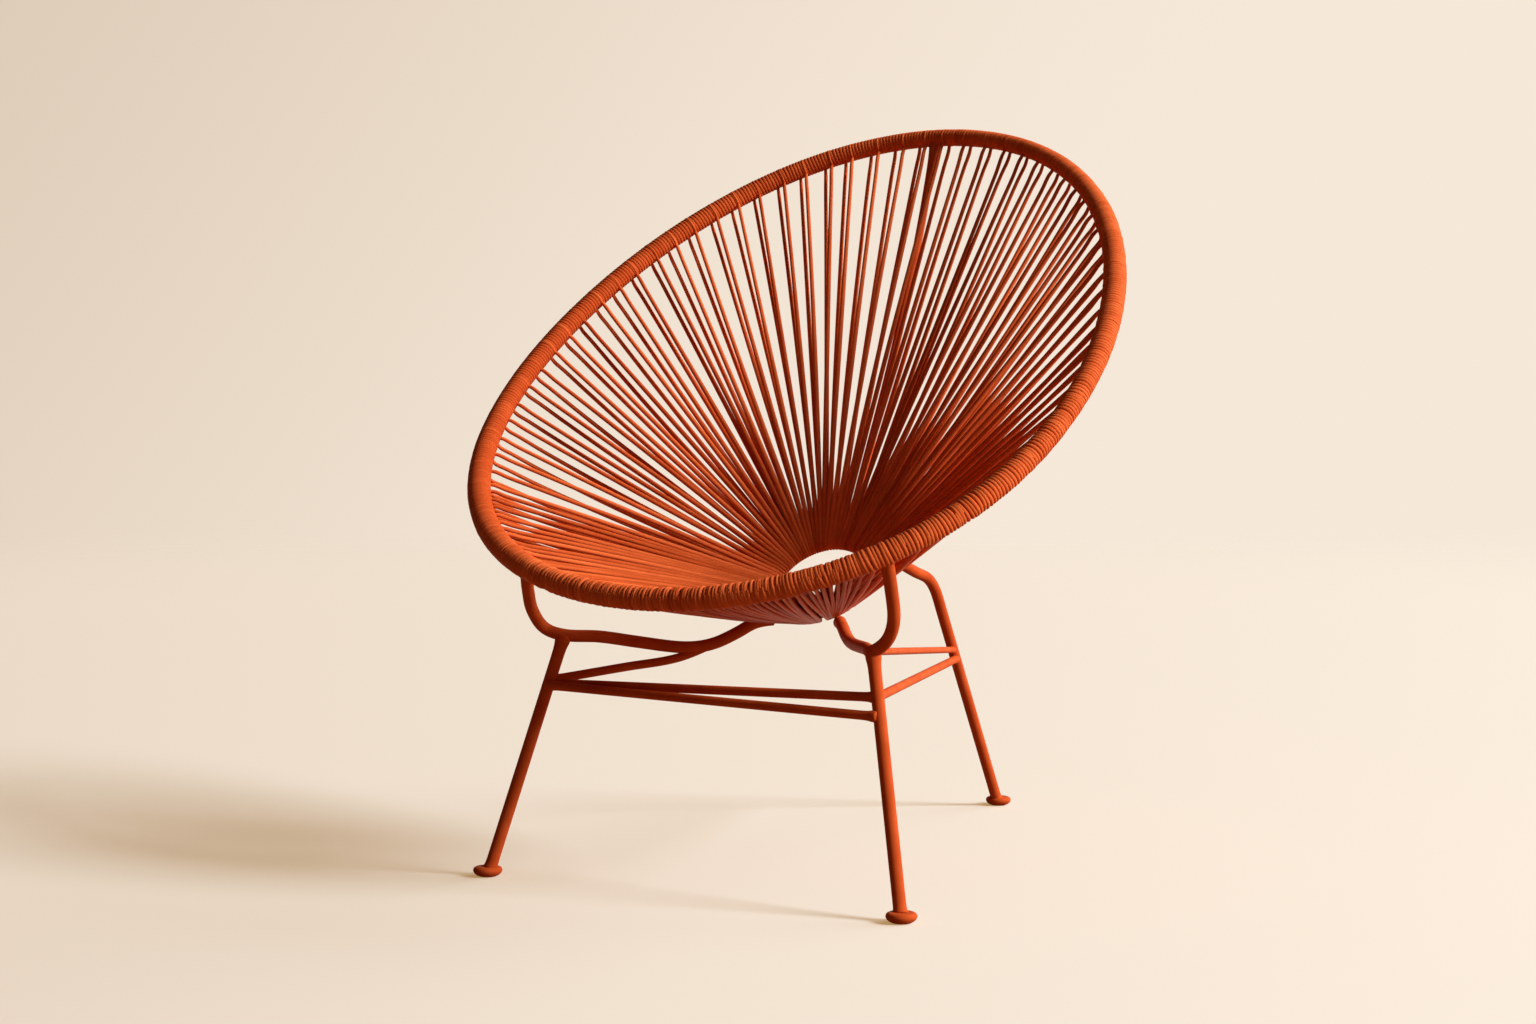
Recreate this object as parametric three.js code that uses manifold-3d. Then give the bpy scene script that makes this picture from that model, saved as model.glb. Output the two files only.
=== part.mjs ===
// Acapulco lounge chair: an egg-shaped steel hoop, tilted back and wound with
// cord, laced with pairs of cord strands to a small seat ring, on a welded base
// of two support tubes, three legs and five stretchers. Millimetres, +Z up.
// The chair faces -Y, and +X is the sitter's left.

import * as THREE from 'three';
import { mergeVertices } from 'three/addons/utils/BufferGeometryUtils.js';
import Module from 'manifold-3d';

const wasm = await Module();
wasm.setup();

// Driving dimensions: the hoop and its cord winding
const hoopTubeDiameter = 17;
const hoopTubeWall = 1.5;
const hoopButtGap = 0.3;
const hoopHalfWidth = 379;
const hoopHalfLength = 423;
const hoopCentreFront = 34.8;
const hoopCentreHeight = 595.4;
const hoopTiltDegrees = 39.45;
const hoopEggShare = 0.112;
const hoopFlareShare = 0.027;
const cordDiameter = 4;

// The seat ring, and how the strands share it out
const ringRadius = 60;
const ringRodDiameter = 8;
const ringCentreHeight = 326.3;
const ringCentreDepth = 0.5;
const ringTiltDegrees = 42.7;
const ringWeldGap = 6.5;

// The lacing: pairs of strands in each section of one side, front to back, and
// how much wider the loops lie apart at the front of the ring than at its back
const sectionPairs = [5, 5, 5, 5, 6, 6, 6];
const frontLoopShare = 0.28;
const frontLoopPower = 3.6;
const pairSpread = 9;
const sectionGap = 0.4;
const strandFlatShare = 0.7;
const hoopRootShare = 0.9;
const ringRootShare = 0.55;

// The lower strands of the front pairs hang in a sag, deepest nearer the hoop,
// that is full for the first pairs and fades out by the last of them
const strandSag = 12;
const sagPeakShare = 0.35;
const sagFullPairs = 7;
const sagLastPairs = 14;

// The base: support tubes, legs, spine and stretchers
const frameTubeDiameter = 14;
const kneeHalfWidth = 198;
const kneeFront = 237;
const kneeHeight = 270.5;
const kneeBulge = 20;
const leftSupport = { topPairs: 8, dip: 9 };
const rightSupport = { topPairs: 6, dip: 19 };
const weldLugThickness = 5;
const weldLugLength = 12;
const frontFootHalfWidth = 263;
const frontFootFront = 295;
const rearFootBack = 478;
const shoulderDepth = 243;
const shoulderHeight = 321;
const rearBendDepth = 306;
const rearBendHeight = 277;
const spineDiameter = 10;
const spineBow = 15;
const armSpineShare = 0.94;
const stretcherDiameter = 10;
const upperStretcherDiameter = 8;

// Heights at which the stretchers meet the legs, and how far off the leg's axis
const frontStretcherRightHeight = 214.6;
const frontStretcherLeftHeight = 204.7;
const frontStretcherSetForward = 4;
const innerStretcherRightHeight = 216;
const innerStretcherLeftHeight = 224;
const innerStretcherSetBack = 7.5;
const braceLegHeight = 220;
const braceTopDrop = 9;
const sideStretcherRearHeight = 204.5;
const upperStretcherRearHeight = 217;

// The round foot plates
const footSoleRadius = 9.5;
const footRadius = 16.5;
const footWaistHeight = 6.8;
const footTopRadius = 12.5;
const footHeight = 11;

// One clearance wherever two pieces meet, the breadth of the floor cut, and the
// distance under which two points of a solid are one
const weldClearance = 0.3;
const floorCutSize = 160;
const samePointDistance = 0.0001;

// Facets
const tubeSides = 8;
const sleeveSides = 8;
const rodSides = 10;
const footSides = 14;
const supportSteps = 24;
const rearLegSteps = 24;
const spineSteps = 10;
const ringStepsPerSection = 3;
const strandSides = 4;
const sagSteps = 5;
const sagSlopeShare = 0.01;

// Sizes that follow from the driving dimensions
const hoopTilt = THREE.MathUtils.degToRad(hoopTiltDegrees);
const ringTilt = THREE.MathUtils.degToRad(ringTiltDegrees);
const pairsPerSide = sectionPairs.reduce((sum, count) => sum + count, 0);
const pairCount = pairsPerSide * 2;
const hoopRadius = hoopTubeDiameter / 2;
const cordRadius = cordDiameter / 2;
const windingRadius = hoopRadius + cordDiameter;
const ringRodRadius = ringRodDiameter / 2;
const ringLoopRadius = ringRodRadius + cordDiameter;
const hoopTurnRadius = hoopRadius + cordRadius;
const ringTurnRadius = ringRodRadius + cordRadius;
const frameRadius = frameTubeDiameter / 2;
const spineRadius = spineDiameter / 2;
const stretcherRadius = stretcherDiameter / 2;
const upperStretcherRadius = upperStretcherDiameter / 2;
const ringInnerLoopRadius = ringRadius - ringTurnRadius;
const supportPairs = sectionPairs[0];

// One side's loops leave a whole gap at its support and half of the spine's
const weldsPerSide = 1.5;
const weldGapAngle = ringWeldGap / ringInnerLoopRadius;
const loopsAngle = Math.PI - weldsPerSide * weldGapAngle;

// Painted steel and vinyl cord share one burnt orange
const paintedSteel = { color: 0xa8431c, roughness: 0.45, metalness: 0.1 };
const vinylCord = { color: 0xb94c20, roughness: 0.4, metalness: 0 };

// The closed centreline of the hoop, from the front middle round by +X
class HoopCurve extends THREE.Curve {
  constructor() {
    super();
    this.arcLengthDivisions = 2000;
  }

  getPoint(turn, target = new THREE.Vector3()) {
    const angle = 2 * Math.PI * turn;
    const swell = 1 + hoopEggShare * Math.cos(angle) + hoopFlareShare * Math.cos(2 * angle);
    const across = hoopHalfWidth * Math.sin(angle) * swell;
    const along = -hoopHalfLength * Math.cos(angle);
    return target.set(
      across,
      along * Math.cos(hoopTilt) - hoopCentreFront,
      along * Math.sin(hoopTilt) + hoopCentreHeight
    );
  }
}

const hoop = new HoopCurve();
const hoopLength = hoop.getLength();
const seatUp = new THREE.Vector3(0, -Math.sin(hoopTilt), Math.cos(hoopTilt));

// A place on the hoop by its share of the length, with its tangent
function hoopPlace(share) {
  const wrapped = ((share % 1) + 1) % 1;
  return { centre: hoop.getPointAt(wrapped), tangent: hoop.getTangentAt(wrapped) };
}

// A place on the seat ring by its angle from the front, with its tangent
function ringPlace(angle) {
  const forward = -ringRadius * Math.cos(angle);
  return {
    centre: new THREE.Vector3(
      ringRadius * Math.sin(angle),
      ringCentreDepth + forward * Math.cos(ringTilt),
      ringCentreHeight + forward * Math.sin(ringTilt)
    ),
    tangent: new THREE.Vector3(
      Math.cos(angle),
      Math.sin(angle) * Math.cos(ringTilt),
      Math.sin(angle) * Math.sin(ringTilt)
    )
  };
}

// The ring angle of a place counted in pairs from the front middle. The loops
// lie wider apart at the front, so that the strands meet the ring straight on,
// and leave a gap at each weld, of a support and the spine: one that is passed
// counts whole, and one at this very place counts half.
const weldPairs = [supportPairs, pairsPerSide];

function ringAngleAtPair(pairs) {
  const side = pairs > pairsPerSide ? -1 : 1;
  const count = side > 0 ? pairs : pairCount - pairs;
  const share = count / pairsPerSide;
  const crowded = frontLoopShare * (1 - (1 - share) ** frontLoopPower);
  const passed = weldPairs.reduce((sum, weld) => sum + (1 + Math.sign(count - weld)) / 2, 0);
  return side * (loopsAngle * ((1 - frontLoopShare) * share + crowded) + passed * weldGapAngle);
}

// The unit normal of the woven seat at a place, on the side that is sat on
function seatNormal(tangent, towardRing) {
  const normal = new THREE.Vector3().crossVectors(tangent, towardRing).normalize();
  return normal.dot(seatUp) < 0 ? normal.negate() : normal;
}

// A place on the ring with the frame of the loops there: the strands meet the
// ring at a slant, so each loop lies in the plane of its strand and the normal
function loopPlace(angle, hoopShare) {
  const { centre, tangent } = ringPlace(angle);
  const toHoop = hoopPlace(hoopShare).centre.sub(centre).normalize();
  const normal = seatNormal(tangent, toHoop);
  return { centre, normal, toHoop, tangent: new THREE.Vector3().crossVectors(normal, toHoop) };
}

// A path given by its stations, whose section always faces the seat
class StationPath extends THREE.Curve {
  constructor(stations) {
    super();
    this.stations = stations;
  }

  getPoint(share, target = new THREE.Vector3()) {
    const last = this.stations.length - 1;
    return target.copy(this.stations[Math.round(share * last)].centre);
  }

  getSpacedPoints() {
    return this.stations.map((station) => station.centre);
  }

  computeFrenetFrames() {
    const tangents = this.stations.map((station) => station.tangent);
    const normals = this.stations.map((station) => station.normal);
    const binormals = tangents.map((tangent, i) =>
      new THREE.Vector3().crossVectors(tangent, normals[i])
    );
    return { tangents, normals, binormals };
  }
}

// Stations of the hoop at given shares of its length
function hoopStations(shares) {
  return shares.map((share) => {
    const { centre, tangent } = hoopPlace(share);
    const ringSide = ringPlace(ringAngleAtPair(share * pairCount)).centre;
    const normal = seatNormal(tangent, ringSide.sub(centre));
    return { centre, tangent, normal };
  });
}

// Stations of the seat ring at given angles
const ringNormal = new THREE.Vector3(0, -Math.sin(ringTilt), Math.cos(ringTilt));

function ringStations(angles) {
  return angles.map((angle) => ({ ...ringPlace(angle), normal: ringNormal }));
}

// Round section, with a bore where one is asked for
function roundShape(radius, sides, boreRadius = 0) {
  const turn = (2 * Math.PI) / sides;
  const points = Array.from({ length: sides }, (_, i) =>
    new THREE.Vector2(radius * Math.cos((i + 0.5) * turn), radius * Math.sin((i + 0.5) * turn))
  );
  const shape = new THREE.Shape(points);
  if (boreRadius > 0) {
    const scale = boreRadius / radius;
    shape.holes.push(new THREE.Path(points.map((p) => p.clone().multiplyScalar(scale))));
  }
  return shape;
}

function tubeGeometry(path, radius, sides, steps, boreRadius = 0) {
  return new THREE.ExtrudeGeometry(roundShape(radius, sides, boreRadius), {
    steps,
    extrudePath: path,
    curveSegments: 1
  });
}

// Geometry to solid and back
function solidOf(geometry) {
  const plain = geometry.clone();
  plain.deleteAttribute('normal');
  plain.deleteAttribute('uv');
  const merged = mergeVertices(plain, samePointDistance);
  const triVerts = new Uint32Array(merged.index.array);
  const vertProperties = new Float32Array(merged.attributes.position.array);
  return new wasm.Manifold(new wasm.Mesh({ numProp: 3, vertProperties, triVerts }));
}

function geometryOf(solid) {
  const mesh = solid.getMesh();
  const geometry = new THREE.BufferGeometry();
  geometry.setAttribute('position', new THREE.BufferAttribute(mesh.vertProperties, 3));
  geometry.setIndex(new THREE.BufferAttribute(mesh.triVerts, 1));
  geometry.computeVertexNormals();
  return geometry;
}

// The largest of the separate bodies in a solid, after a coping cut
function largestBody(solid) {
  const bodies = solid.decompose();
  return bodies.reduce((best, body) => (body.volume() > best.volume() ? body : best));
}

// A straight round bar between two points
function barSolid(start, end, radius, sides) {
  const along = new THREE.Vector3().subVectors(end, start);
  const geometry = new THREE.CylinderGeometry(radius, radius, along.length(), sides);
  const upright = new THREE.Vector3(0, 1, 0);
  geometry.applyQuaternion(
    new THREE.Quaternion().setFromUnitVectors(upright, along.clone().normalize())
  );
  const middle = new THREE.Vector3().addVectors(start, end).divideScalar(2);
  geometry.translate(middle.x, middle.y, middle.z);
  return solidOf(geometry);
}

// The hoop's tube, open at its butt joint in the front middle
const hoopShares = Array.from({ length: pairCount + 1 }, (_, i) => i / pairCount);
const buttShare = hoopButtGap / 2 / hoopLength;
hoopShares[0] = buttShare;
hoopShares[pairCount] = 1 - buttShare;

function hoopTube(radius, boreRadius = 0) {
  const path = new StationPath(hoopStations(hoopShares));
  return tubeGeometry(path, radius, tubeSides, pairCount, boreRadius);
}

const hoopClearSolid = solidOf(hoopTube(hoopRadius + weldClearance));

// The ring's rod: an open turn with a butt joint at the front
const ringSteps = ringStepsPerSection * sectionPairs.length * 2;
const ringButtAngle = weldClearance / ringRadius;

function ringRod(radius) {
  const angles = Array.from({ length: ringSteps + 1 }, (_, i) =>
    THREE.MathUtils.lerp(ringButtAngle / 2, 2 * Math.PI - ringButtAngle / 2, i / ringSteps)
  );
  return tubeGeometry(new StationPath(ringStations(angles)), radius, tubeSides, ringSteps);
}

const ringClearSolid = solidOf(ringRod(ringRodRadius + weldClearance));

// Support tubes: from the hoop down past the knee, then in along a dip and
// up under the ring. The left one is at +X.
const kneeRouteShares = [[0.38, 0.62], [0.67, 1], [0.89, 0.74]];
const runRouteShares = [
  [0.16, 0.15, 0],
  [0.34, 0.55, 0],
  [0.53, 0.95, 0],
  [0.62, 1, 0],
  [0.71, 0.85, 0.05],
  [0.82, 0.4, 0.3],
  [0.91, 0.05, 0.75]
];

// A weld place under the ring, by pairs from the front: where a tube lies there
function ringWeld(pairs, radius) {
  const weld = loopPlace(ringAngleAtPair(pairs), pairs / pairCount);
  const depth = ringLoopRadius + weldClearance + radius;
  return { ...weld, seat: weld.centre.clone().addScaledVector(weld.normal, -depth) };
}

// The plate that joins a tube under the ring to the ring's rod between two loops
function weldLug(weld) {
  const reach = weld.centre.distanceTo(weld.seat);
  const geometry = new THREE.BoxGeometry(weldLugLength, weldLugThickness, reach);
  geometry.applyMatrix4(new THREE.Matrix4().makeBasis(weld.toHoop, weld.tangent, weld.normal));
  const middle = new THREE.Vector3().addVectors(weld.centre, weld.seat).divideScalar(2);
  geometry.translate(middle.x, middle.y, middle.z);
  return solidOf(geometry).subtract(ringClearSolid);
}

const knee = new THREE.Vector3(kneeHalfWidth, -kneeFront, kneeHeight);
const supportWeld = ringWeld(supportPairs, frameRadius);

function supportPath({ topPairs, dip }) {
  const top = hoopPlace(topPairs / pairCount).centre;
  const kneePoints = kneeRouteShares.map(([drop, bulge]) => {
    const point = new THREE.Vector3().lerpVectors(top, knee, drop);
    point.x += bulge * kneeBulge;
    return point;
  });
  const runPoints = runRouteShares.map(([along, dipShare, riseShare]) => {
    const point = new THREE.Vector3().lerpVectors(knee, supportWeld.seat, along);
    const rise = supportWeld.seat.z - knee.z;
    point.z = knee.z - dip * dipShare + rise * riseShare;
    return point;
  });
  const points = [top, ...kneePoints, knee, ...runPoints, supportWeld.seat];
  return new THREE.CatmullRomCurve3(points, false, 'centripetal');
}

function supportTube(support, radius) {
  return solidOf(tubeGeometry(supportPath(support), radius, tubeSides, supportSteps));
}

// Mirrors a solid from the left side to the right
function toRight(solid) {
  return solid.mirror([1, 0, 0]);
}

function supportBody(support) {
  const tube = largestBody(supportTube(support, frameRadius).subtract(hoopClearSolid));
  return tube.add(weldLug(supportWeld));
}

const clearFrameRadius = frameRadius + weldClearance;
const leftSupportBody = supportBody(leftSupport);
const rightSupportBody = toRight(supportBody(rightSupport));
const leftSupportClear = supportTube(leftSupport, clearFrameRadius);
const rightSupportClear = toRight(supportTube(rightSupport, clearFrameRadius));

// Foot plate: a turned disc that swells from a small sole to its full radius and
// rounds in again to a flat top, from z = 0 up
function footGeometry(clearance) {
  const waist = footRadius + clearance;
  const sole = footSoleRadius + clearance;
  const topEdge = footTopRadius + clearance;
  const top = footHeight + clearance;
  const curveSteps = 3;
  const points = [new THREE.Vector2(0, 0)];
  for (let i = 0; i <= curveSteps; i += 1) {
    const angle = (i / curveSteps) * (Math.PI / 2);
    points.push(new THREE.Vector2(
      sole + (waist - sole) * Math.sin(angle),
      footWaistHeight * (1 - Math.cos(angle))
    ));
  }
  for (let i = 1; i <= curveSteps; i += 1) {
    const angle = (i / curveSteps) * (Math.PI / 2);
    points.push(new THREE.Vector2(
      topEdge + (waist - topEdge) * Math.cos(angle),
      footWaistHeight + (top - footWaistHeight) * Math.sin(angle)
    ));
  }
  points.push(new THREE.Vector2(0, top));
  const geometry = new THREE.LatheGeometry(points, footSides);
  geometry.rotateX(Math.PI / 2);
  return geometry;
}

// Legs, each coped to its foot plate below and to its tube above
const frontFoot = new THREE.Vector3(frontFootHalfWidth, -frontFootFront, 0);
const rearFoot = new THREE.Vector3(0, rearFootBack, 0);

// A leg without what lies in its foot plate or below the floor
function standOnFoot(leg, foot) {
  const plate = footGeometry(weldClearance);
  plate.translate(foot.x, foot.y, foot.z);
  const below = new THREE.BoxGeometry(floorCutSize, floorCutSize, floorCutSize);
  below.translate(foot.x, foot.y, foot.z - floorCutSize / 2);
  return largestBody(leg.subtract(solidOf(below)).subtract(solidOf(plate)));
}

const mirrorX = (point) => new THREE.Vector3(-point.x, point.y, point.z);

function frontLegBar(radius) {
  return barSolid(frontFoot, knee, radius, rodSides);
}

const frontLegBody = standOnFoot(frontLegBar(frameRadius), frontFoot);
const leftLeg = largestBody(frontLegBody.subtract(leftSupportClear));
const rightLeg = largestBody(toRight(frontLegBody).subtract(rightSupportClear));
const leftLegClear = frontLegBar(clearFrameRadius);
const rightLegClear = toRight(leftLegClear);

// Back spine: from the top of the hoop down behind the strands to the ring
const spineRouteShares = [[0.2, 0.7], [0.4, 1], [0.6, 0.85], [0.8, 0.4]];
const spineWeld = ringWeld(pairsPerSide, spineRadius);

function spinePath() {
  const top = hoopPlace(0.5).centre;
  const points = spineRouteShares.map(([along, bow]) =>
    new THREE.Vector3().lerpVectors(top, spineWeld.seat, along)
      .addScaledVector(spineWeld.normal, -bow * spineBow)
  );
  return new THREE.CatmullRomCurve3([top, ...points, spineWeld.seat], false, 'centripetal');
}

function spineTube(radius) {
  return solidOf(tubeGeometry(spinePath(), radius, tubeSides, spineSteps));
}

const backSpine = largestBody(spineTube(spineRadius).subtract(hoopClearSolid)).add(weldLug(spineWeld));
const spineClear = spineTube(spineRadius + weldClearance);

// Rear leg: its arm starts at the spine just above the ring, runs back, bends
// over at the shoulder and goes straight down to the rear foot
const armRouteShares = [[0.35, 0.38], [0.7, 0.75]];
const bendRouteShares = [[0.51, 0.8], [0.825, 0.41]];
const legRouteShares = [0.15, 0.55];

function inMidPlane(depth, height) {
  return new THREE.Vector3(0, depth, height);
}

function rearLegPath() {
  const start = spinePath().getPointAt(armSpineShare);
  const shoulder = inMidPlane(shoulderDepth, shoulderHeight);
  const bendEnd = inMidPlane(rearBendDepth, rearBendHeight);
  const { lerp } = THREE.MathUtils;
  const arm = armRouteShares.map(([along, fall]) =>
    inMidPlane(lerp(start.y, shoulder.y, along), lerp(start.z, shoulder.z, fall))
  );
  const bend = bendRouteShares.map(([along, height]) =>
    inMidPlane(lerp(shoulder.y, bendEnd.y, along), lerp(bendEnd.z, shoulder.z, height))
  );
  const leg = legRouteShares.map((along) => new THREE.Vector3().lerpVectors(bendEnd, rearFoot, along));
  const points = [start, ...arm, shoulder, ...bend, bendEnd, ...leg, rearFoot];
  return new THREE.CatmullRomCurve3(points, false, 'centripetal');
}

function rearLegTube(radius) {
  return solidOf(tubeGeometry(rearLegPath(), radius, tubeSides, rearLegSteps));
}

const rearLeg = largestBody(standOnFoot(rearLegTube(frameRadius), rearFoot).subtract(spineClear));
const rearLegClear = rearLegTube(clearFrameRadius);

// Stretchers: a place on a leg is found by its height
function onFrontLeg(height, side, setBack = 0) {
  const place = new THREE.Vector3().lerpVectors(frontFoot, knee, height / knee.z);
  return new THREE.Vector3(side * place.x, place.y + setBack, height);
}

function onRearLeg(height) {
  const bendEnd = inMidPlane(rearBendDepth, rearBendHeight);
  return new THREE.Vector3().lerpVectors(rearFoot, bendEnd, height / bendEnd.z);
}

function stretcherBar(start, end, radius) {
  return barSolid(start, end, radius, rodSides);
}

const clearStretcherRadius = stretcherRadius + weldClearance;
const frontEnds = [
  onFrontLeg(frontStretcherRightHeight, -1, -frontStretcherSetForward),
  onFrontLeg(frontStretcherLeftHeight, 1, -frontStretcherSetForward)
];
const innerEnds = [
  onFrontLeg(innerStretcherRightHeight, -1, innerStretcherSetBack),
  onFrontLeg(innerStretcherLeftHeight, 1, 0)
];
const frontStretcher = largestBody(
  stretcherBar(...frontEnds, stretcherRadius).subtract(leftLegClear).subtract(rightLegClear)
);
const innerStretcher = largestBody(
  stretcherBar(...innerEnds, stretcherRadius).subtract(leftLegClear).subtract(rightLegClear)
);
const innerStretcherClear = stretcherBar(...innerEnds, clearStretcherRadius);

// The right brace runs from the leg's joint up under the support's low point
const supportLowShare = 0.62;
const braceTop = mirrorX(new THREE.Vector3().lerpVectors(knee, supportWeld.seat, supportLowShare));
braceTop.z = knee.z - rightSupport.dip - braceTopDrop;
const rightBrace = largestBody(
  stretcherBar(onFrontLeg(braceLegHeight, -1), braceTop, stretcherRadius)
    .subtract(rightLegClear).subtract(rightSupportClear).subtract(innerStretcherClear)
);

const sideStretcher = largestBody(
  stretcherBar(innerEnds[1], onRearLeg(sideStretcherRearHeight), stretcherRadius)
    .subtract(leftLegClear).subtract(rearLegClear).subtract(innerStretcherClear)
);
const upperStretcher = largestBody(
  stretcherBar(knee, onRearLeg(upperStretcherRearHeight), upperStretcherRadius)
    .subtract(leftSupportClear).subtract(leftLegClear).subtract(rearLegClear)
);

// A straight strand, drawn with flats of equal breadth, from root to root
function strandSolid(start, end, normal) {
  const along = new THREE.Vector3().subVectors(end, start);
  const flat = cordDiameter * strandFlatShare;
  const geometry = new THREE.BoxGeometry(flat, along.length(), flat);
  along.normalize();
  const across = new THREE.Vector3().crossVectors(along, normal).normalize();
  const up = new THREE.Vector3().crossVectors(across, along);
  geometry.applyMatrix4(new THREE.Matrix4().makeBasis(across, along, up));
  const middle = new THREE.Vector3().addVectors(start, end).divideScalar(2);
  geometry.translate(middle.x, middle.y, middle.z);
  return solidOf(geometry);
}

// How far the lower strand of a pair hangs below the straight line
function sagAtPair(pair) {
  const faded = (sagLastPairs - pair - 0.5) / (sagLastPairs - sagFullPairs);
  return strandSag * THREE.MathUtils.clamp(faded, 0, 1);
}

// A strand of the same section that hangs in a sag between its roots
function saggingStrand(start, end, normal, sag) {
  const sagPower = Math.log(0.5) / Math.log(sagPeakShare);
  const centreAt = (share) =>
    new THREE.Vector3().lerpVectors(start, end, share)
      .addScaledVector(normal, -sag * Math.sin(Math.PI * share ** sagPower));
  const stations = Array.from({ length: sagSteps + 1 }, (_, i) => {
    const share = i / sagSteps;
    const before = centreAt(Math.max(0, share - sagSlopeShare));
    const after = centreAt(Math.min(1, share + sagSlopeShare));
    const tangent = new THREE.Vector3().subVectors(after, before).normalize();
    const across = new THREE.Vector3().crossVectors(tangent, normal).normalize();
    return { centre: centreAt(share), tangent, normal: new THREE.Vector3().crossVectors(across, tangent) };
  });
  const cornerRadius = (cordDiameter * strandFlatShare) / Math.SQRT2;
  return solidOf(tubeGeometry(new StationPath(stations), cornerRadius, strandSides, sagSteps));
}

// One pair of strands: the cord comes off the top of the hoop's winding, goes
// round the ring through the hole and returns to the underside of the winding.
// Each root lies a little toward the strand, inside the turns that hold it.
function strandPair(pair) {
  const turn = (pair + 0.5) / pairCount;
  const ringEnd = ringPlace(ringAngleAtPair(pair + 0.5));
  const spreadShare = pairSpread / 2 / hoopLength;
  return [-1, 1].map((layer) => {
    const { centre, tangent } = hoopPlace(turn - layer * spreadShare);
    const toRing = new THREE.Vector3().subVectors(ringEnd.centre, centre).normalize();
    const hoopNormal = seatNormal(tangent, toRing);
    const loopNormal = seatNormal(ringEnd.tangent, toRing);
    const start = centre.clone()
      .addScaledVector(hoopNormal, -layer * hoopTurnRadius * Math.sqrt(1 - hoopRootShare ** 2))
      .addScaledVector(toRing, hoopTurnRadius * hoopRootShare);
    const end = ringEnd.centre.clone()
      .addScaledVector(loopNormal, -layer * ringTurnRadius * Math.sqrt(1 - ringRootShare ** 2))
      .addScaledVector(toRing, -ringTurnRadius * ringRootShare);
    const sag = layer > 0 ? sagAtPair(pair) : 0;
    return sag > 0 ? saggingStrand(start, end, hoopNormal, sag) : strandSolid(start, end, hoopNormal);
  });
}

// Stations of a section's loops round the ring, cut along the strands
function loopStations(firstPair, pairs) {
  const closestPairAngle = (loopsAngle * (1 - frontLoopShare)) / pairsPerSide;
  const gapPairs = sectionGap / 2 / ringInnerLoopRadius / closestPairAngle;
  return Array.from({ length: ringStepsPerSection + 1 }, (_, i) => {
    const place = firstPair + THREE.MathUtils.lerp(gapPairs, pairs - gapPairs, i / ringStepsPerSection);
    return loopPlace(ringAngleAtPair(place), place / pairCount);
  });
}

// A section of cord: its part of the winding round the hoop, the strands that
// leave it, and their loops round the ring, as one body
function cordSection(firstPair, pairs) {
  const gapShare = sectionGap / 2 / hoopLength;
  const shares = Array.from({ length: pairs + 1 }, (_, i) => (firstPair + i) / pairCount);
  shares[0] += gapShare;
  shares[pairs] -= gapShare;
  const winding = solidOf(
    tubeGeometry(new StationPath(hoopStations(shares)), windingRadius, sleeveSides, pairs)
  );
  const loops = solidOf(tubeGeometry(
    new StationPath(loopStations(firstPair, pairs)), ringLoopRadius, tubeSides, ringStepsPerSection
  ));
  const strands = Array.from({ length: pairs }, (_, i) => strandPair(firstPair + i)).flat();
  return [loops, ...strands]
    .reduce((body, piece) => body.add(piece), winding)
    .subtract(hoopClearSolid)
    .subtract(ringClearSolid);
}

// The assembly
const chair = new THREE.Group();

function place(name, geometry, finish) {
  const mesh = new THREE.Mesh(geometry, new THREE.MeshStandardMaterial(finish));
  mesh.name = name;
  chair.add(mesh);
  return mesh;
}

place('rim_hoop', hoopTube(hoopRadius, hoopRadius - hoopTubeWall), paintedSteel);
place('seat_ring', ringRod(ringRodRadius), paintedSteel);
place('back_spine', geometryOf(backSpine), paintedSteel);
place('left_support', geometryOf(leftSupportBody), paintedSteel);
place('right_support', geometryOf(rightSupportBody), paintedSteel);
place('left_leg', geometryOf(leftLeg), paintedSteel);
place('right_leg', geometryOf(rightLeg), paintedSteel);
place('rear_leg', geometryOf(rearLeg), paintedSteel);
place('front_stretcher', geometryOf(frontStretcher), paintedSteel);
place('inner_stretcher', geometryOf(innerStretcher), paintedSteel);
place('right_brace', geometryOf(rightBrace), paintedSteel);
place('side_stretcher', geometryOf(sideStretcher), paintedSteel);
place('upper_stretcher', geometryOf(upperStretcher), paintedSteel);

const feet = { left_foot: frontFoot, right_foot: mirrorX(frontFoot), rear_foot: rearFoot };
for (const [name, spot] of Object.entries(feet)) {
  place(name, footGeometry(0), paintedSteel).position.copy(spot);
}

// Cord sections, from the front round each side to the back
let firstPair = 0;
sectionPairs.forEach((pairs, i) => {
  const section = cordSection(firstPair, pairs);
  const left = section.subtract(leftSupportClear).subtract(spineClear);
  const right = toRight(section).subtract(rightSupportClear).subtract(spineClear);
  place(`left_cord_${i + 1}`, geometryOf(left), vinylCord);
  place(`right_cord_${i + 1}`, geometryOf(right), vinylCord);
  firstPair += pairs;
});

// The origin is the middle of the outline seen from above, on the floor
chair.updateMatrixWorld(true);
const bounds = new THREE.Box3().setFromObject(chair, true);
chair.position.y = -(bounds.min.y + bounds.max.y) / 2;

export default chair;
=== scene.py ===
import math

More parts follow.
